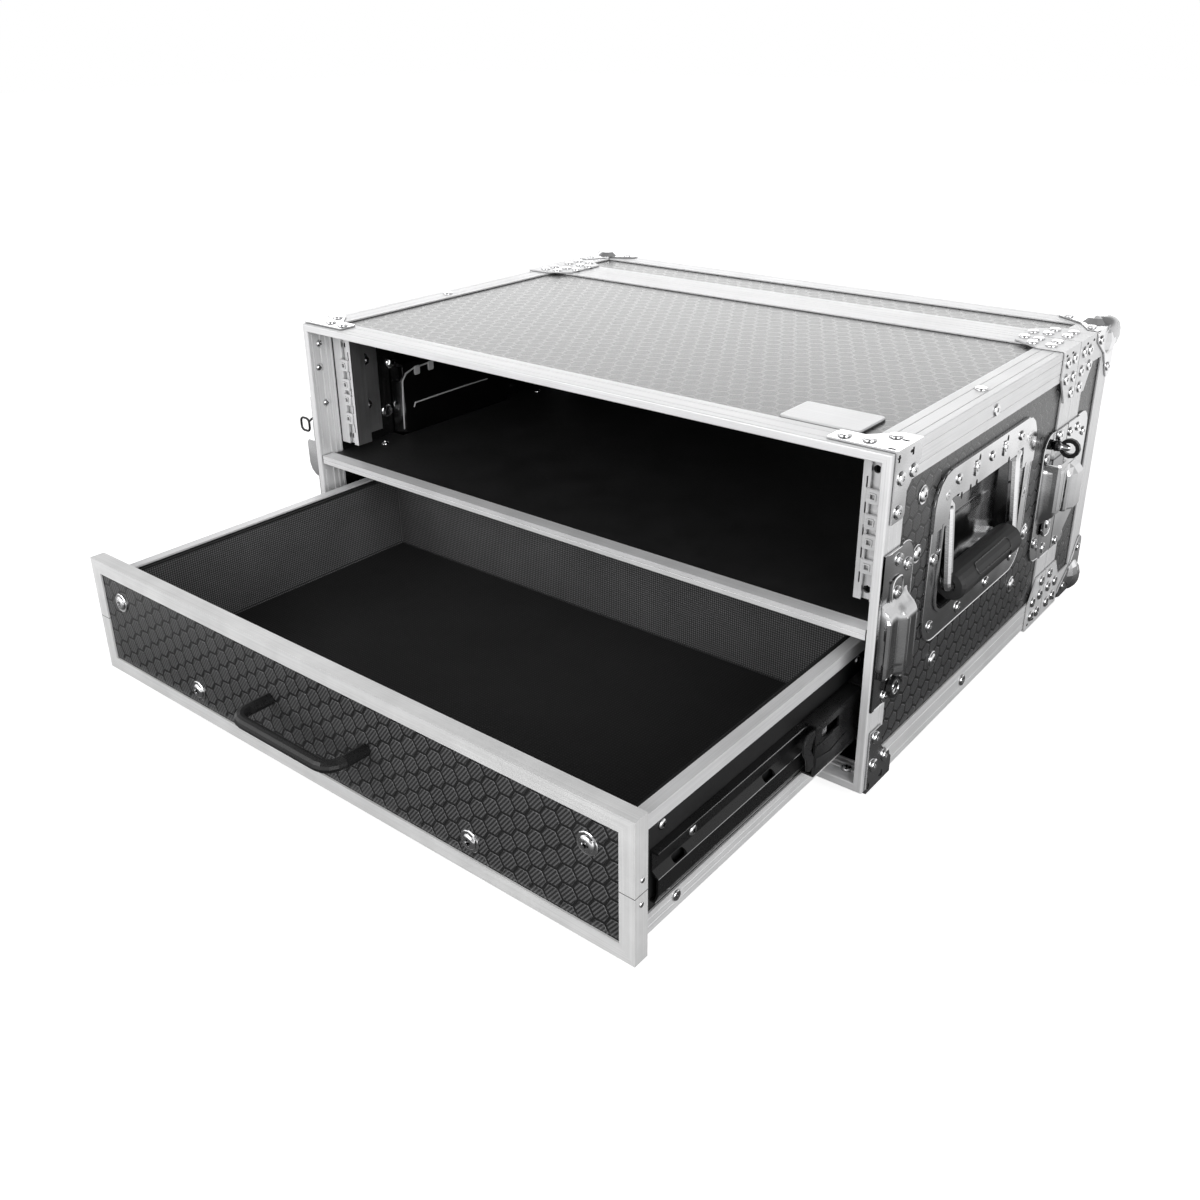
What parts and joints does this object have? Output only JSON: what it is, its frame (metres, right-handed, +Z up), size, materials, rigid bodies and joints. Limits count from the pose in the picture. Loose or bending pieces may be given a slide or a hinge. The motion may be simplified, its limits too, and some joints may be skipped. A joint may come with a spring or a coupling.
{
  "type": "rack case with drawer",
  "caption": "Shallow 19-inch road case with rack rails over a pull-out drawer, recessed side handles, twist latches and a removable rear lid.",
  "frame": {"origin": "centre of the footprint of the whole case with its drawer open, at the bottom of the feet", "axes": "+X to the case's right seen from the front, +Y from the front opening to the rear lid, +Z up"},
  "size_m": [0.542, 0.6256, 0.234],
  "materials": {
    "laminate": "plywood faced with black laminate, a fine weave under thin hexagon outlines, satin",
    "black_board": "black-painted plywood, fine grain, matt",
    "aluminium": "mill-finish extrusion brushed along its length, fine drawn lines",
    "zinc_plate": "bright zinc-plated pressed steel, smooth with soft folds",
    "chrome": "polished chrome plate",
    "black_steel": "black zinc-coated steel, satin",
    "rubber": "moulded black rubber, fine-grained matt",
    "foam": "dark closed-cell foam sheet, ribbed floor and diamond-quilted walls, very matt"
  },
  "bodies": {
    "case": {"top_panel": "laminate", "bottom_panel": "laminate", "left_panel": "laminate", "right_panel": "laminate", "front_frame": "aluminium", "rear_frame": "aluminium", "edge_trim_top_left": "aluminium", "edge_trim_top_right": "aluminium", "edge_trim_bottom_left": "aluminium", "edge_trim_bottom_right": "aluminium", "corner_bracket_top_left": "zinc_plate", "corner_bracket_top_right": "zinc_plate", "corner_bracket_bottom_left": "zinc_plate", "corner_bracket_bottom_right": "zinc_plate", "shelf": "black_board", "shelf_trim": "aluminium", "rack_rail_left": "aluminium", "rack_rail_right": "aluminium", "handle_dish_left": "zinc_plate", "handle_dish_right": "zinc_plate", "latch_base_front_left": "zinc_plate", "latch_base_front_right": "zinc_plate", "latch_base_rear_left": "zinc_plate", "latch_base_rear_right": "zinc_plate", "slide_fixed_left": "black_steel", "slide_fixed_right": "black_steel", "foot_front_left": "rubber", "foot_front_right": "rubber", "foot_rear_left": "rubber", "foot_rear_right": "rubber"},
    "drawer": {"drawer_front_panel": "laminate", "drawer_front_trim": "aluminium", "drawer_pull": "black_steel", "drawer_tray": "black_board", "drawer_lining": "foam", "drawer_edge_left": "aluminium", "drawer_edge_right": "aluminium", "drawer_base_rail_left": "aluminium", "drawer_base_rail_right": "aluminium", "slide_drawer_left": "black_steel", "slide_drawer_right": "black_steel"},
    "slide_middles": {"slide_middle_left": "black_steel", "slide_middle_right": "black_steel"},
    "handle_left": {"handle_bail_left": "chrome", "handle_grip_left": "rubber"},
    "handle_right": {"handle_bail_right": "chrome", "handle_grip_right": "rubber"},
    "key_front_left": {"latch_key_front_left": "black_steel"},
    "key_front_right": {"latch_key_front_right": "black_steel"},
    "key_rear_left": {"latch_key_rear_left": "black_steel"},
    "key_rear_right": {"latch_key_rear_right": "black_steel"},
    "rear_lid": {"lid_shell": "laminate", "lid_front_frame": "aluminium", "lid_edge_frame": "aluminium", "latch_keeper_left": "zinc_plate", "latch_keeper_right": "zinc_plate", "ball_corner_top_left": "chrome", "ball_corner_top_right": "chrome", "ball_corner_bottom_left": "chrome", "ball_corner_bottom_right": "chrome"}
  },
  "joints": [
    {"name": "drawer_travel", "type": "slide", "parent": "case", "child": "drawer", "axis": [0, 1, 0], "range_m": [0, 0.21]},
    {"name": "slide_middle_travel", "type": "slide", "parent": "case", "child": "slide_middles", "axis": [0, 1, 0], "range_m": [0, 0.0541]},
    {"name": "left_handle_swing", "type": "hinge", "parent": "case", "child": "handle_left", "pos_m": [-0.2493, 0.0733, 0.171], "axis": [0, 1, 0], "range_deg": [0, 85]},
    {"name": "right_handle_swing", "type": "hinge", "parent": "case", "child": "handle_right", "pos_m": [0.2493, 0.0733, 0.171], "axis": [0, -1, 0], "range_deg": [0, 85]},
    {"name": "front_left_key_turn", "type": "hinge", "parent": "case", "child": "key_front_left", "pos_m": [-0.2535, -0.0522, 0.157], "axis": [-1, 0, 0], "range_deg": [0, 180]},
    {"name": "front_right_key_turn", "type": "hinge", "parent": "case", "child": "key_front_right", "pos_m": [0.2535, -0.0522, 0.077], "axis": [1, 0, 0], "range_deg": [0, 180]},
    {"name": "rear_left_key_turn", "type": "hinge", "parent": "case", "child": "key_rear_left", "pos_m": [-0.2535, 0.2018, 0.157], "axis": [-1, 0, 0], "range_deg": [0, 180]},
    {"name": "rear_right_key_turn", "type": "hinge", "parent": "case", "child": "key_rear_right", "pos_m": [0.2535, 0.2018, 0.157], "axis": [1, 0, 0], "range_deg": [0, 180]},
    {"name": "rear_lid_pull", "type": "slide", "parent": "case", "child": "rear_lid", "axis": [0, 1, 0], "range_m": [0, 0.06]}
  ],
  "couplings": [
    {"joint": "slide_middle_travel", "follows": "drawer_travel", "ratio": 0.25714}
  ]
}
